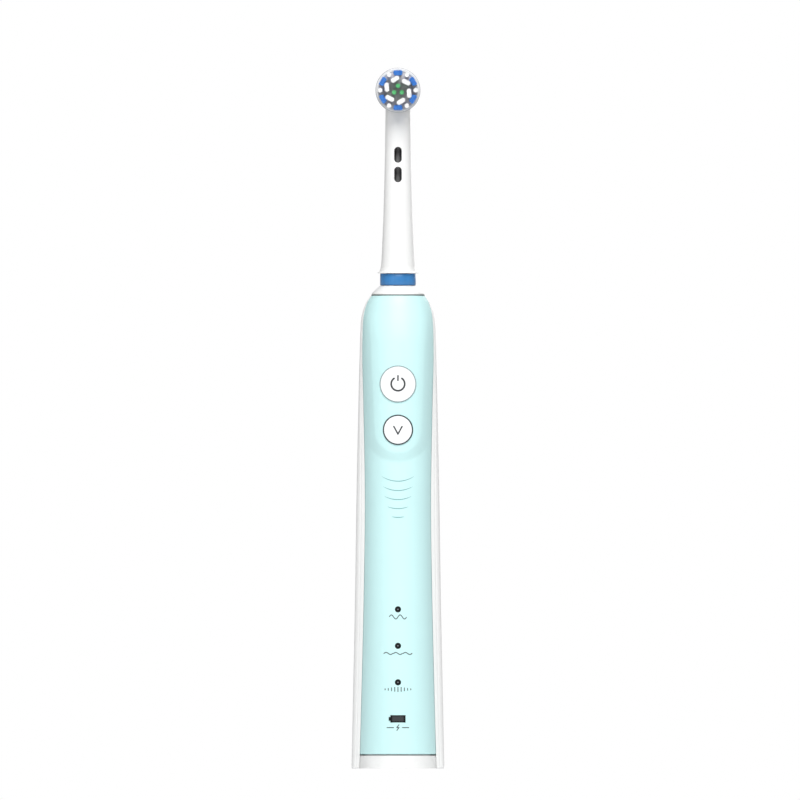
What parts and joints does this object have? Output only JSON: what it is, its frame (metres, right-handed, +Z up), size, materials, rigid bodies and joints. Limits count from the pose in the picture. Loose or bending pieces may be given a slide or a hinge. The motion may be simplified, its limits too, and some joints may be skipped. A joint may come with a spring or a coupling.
{
  "type": "electric toothbrush",
  "caption": "Handheld electric toothbrush with an oscillating round brush head on a slim neck, a two-tone handle with push buttons and indicator windows, and a charging socket in its foot.",
  "frame": {"origin": "centre of the foot, on the surface that the brush stands on", "axes": "+Z up along the handle and the drive shaft, -Y towards the bristles and buttons, +X to the right seen from the front"},
  "size_m": [0.0318, 0.029, 0.24],
  "materials": {
    "mint_plastic": "satin gloss moulded plastic",
    "white_plastic": "gloss moulded plastic",
    "button_white": "fine satin",
    "seal_rubber": "matt elastomer",
    "switch_black": "matt",
    "lens_black": "smoked gloss window",
    "board_green": "solder mask",
    "led_white": "gloss",
    "chassis_grey": "matt moulded plastic",
    "cell_wrap": "shrink-wrapped cell; aluminium stands for its mean density",
    "nickel": "nickel strip",
    "copper": "enamelled copper winding",
    "motor_steel": "zinc-plated",
    "magnet": "sintered ferrite",
    "lamination": "varnished laminations and winding",
    "steel": "ground steel",
    "bronze": "sintered bronze and brass",
    "gear_plastic": "acetal",
    "ring_blue": "satin",
    "rod_grey": "satin",
    "plate_grey": "satin",
    "rim_translucent": "translucent",
    "bristle_white": "nylon filaments",
    "bristle_blue": "nylon filaments",
    "bristle_green": "nylon filaments"
  },
  "bodies": {
    "handle": {"front_cover": "mint_plastic", "back_shell": "white_plastic", "base_cap": "white_plastic", "base_seal": "seal_rubber", "collar": "white_plastic", "shaft_seal": "seal_rubber", "power_switch": "switch_black", "mode_switch": "switch_black", "button_gasket": "seal_rubber", "mode_lens_1": "lens_black", "mode_lens_2": "lens_black", "mode_lens_3": "lens_black", "charge_lens": "lens_black", "circuit_board": "board_green", "indicator_leds": "led_white", "control_chips": "switch_black", "chassis": "chassis_grey", "battery_cell": "cell_wrap", "battery_tab_negative": "nickel", "battery_tab_positive": "nickel", "coil_bobbin": "chassis_grey", "charging_coil": "copper", "motor_can": "motor_steel", "motor_end_cap": "chassis_grey", "motor_magnets": "magnet", "gear_frame": "chassis_grey", "frame_screws": "steel", "motor_screws": "steel", "crank_axle": "steel", "lower_shaft_bearing": "bronze", "upper_shaft_bearing": "bronze"},
    "power_button": {"power_button": "button_white", "power_switch_plunger": "switch_black"},
    "mode_button": {"mode_button": "button_white", "mode_switch_plunger": "switch_black"},
    "motor_rotor": {"motor_armature": "lamination", "motor_shaft": "steel", "motor_pinion": "bronze"},
    "crank": {"crank_gear": "gear_plastic", "crank_pin": "steel"},
    "drive_shaft": {"drive_shaft": "steel", "rocker_arm": "steel", "rocker_pin": "steel"},
    "link": {"connecting_link": "steel"},
    "brush_head": {"neck_sleeve": "white_plastic", "id_ring": "ring_blue", "head_insert": "chassis_grey", "disc_pivot_pin": "steel"},
    "head_drive": {"head_drive_rod": "rod_grey"},
    "bristle_disc": {"disc_carrier": "plate_grey", "disc_rim": "rim_translucent", "tufts_white_round": "bristle_white", "tufts_blue": "bristle_blue", "tufts_white_oblong": "bristle_white", "tufts_green": "bristle_green"}
  },
  "joints": [
    {"name": "power_press", "type": "slide", "parent": "handle", "child": "power_button", "axis": [0, 1, 0], "range_m": [0, 0.0005], "stiffness_N_per_m": 1500},
    {"name": "mode_press", "type": "slide", "parent": "handle", "child": "mode_button", "axis": [0, 1, 0], "range_m": [0, 0.0005], "stiffness_N_per_m": 1500},
    {"name": "motor_spin", "type": "hinge", "parent": "handle", "child": "motor_rotor", "pos_m": [0.00214, 0.0022, 0.095], "axis": [0, 0, 1], "continuous": true},
    {"name": "crank_spin", "type": "hinge", "parent": "handle", "child": "crank", "pos_m": [-0.0047, 0.0037, 0.122], "axis": [0, 0, 1], "continuous": true},
    {"name": "shaft_swing", "type": "hinge", "parent": "handle", "child": "drive_shaft", "pos_m": [0, 0, 0.145], "axis": [0, 0, 1], "range_deg": [-22.5, 22.5]},
    {"name": "link_turn", "type": "hinge", "parent": "drive_shaft", "child": "link", "pos_m": [0, 0.004, 0.1273], "axis": [0, 0, 1], "range_deg": [-22.5, 22.5]},
    {"name": "head_pull", "type": "slide", "parent": "handle", "child": "brush_head", "axis": [0, 0, 1], "range_m": [0, 0.03]},
    {"name": "head_drive_swing", "type": "hinge", "parent": "brush_head", "child": "head_drive", "pos_m": [0, 0, 0.205], "axis": [0, 0, 1], "range_deg": [-22.5, 22.5]},
    {"name": "disc_swing", "type": "hinge", "parent": "brush_head", "child": "bristle_disc", "pos_m": [0, -0.004, 0.2323], "axis": [0, -1, 0], "range_deg": [-20.93, 20.93]}
  ],
  "couplings": [
    {"joint": "crank_spin", "follows": "motor_spin", "ratio": -0.42857},
    {"joint": "link_turn", "follows": "shaft_swing", "ratio": -1},
    {"joint": "head_drive_swing", "follows": "shaft_swing", "ratio": 1},
    {"joint": "disc_swing", "follows": "shaft_swing", "ratio": 0.93}
  ]
}
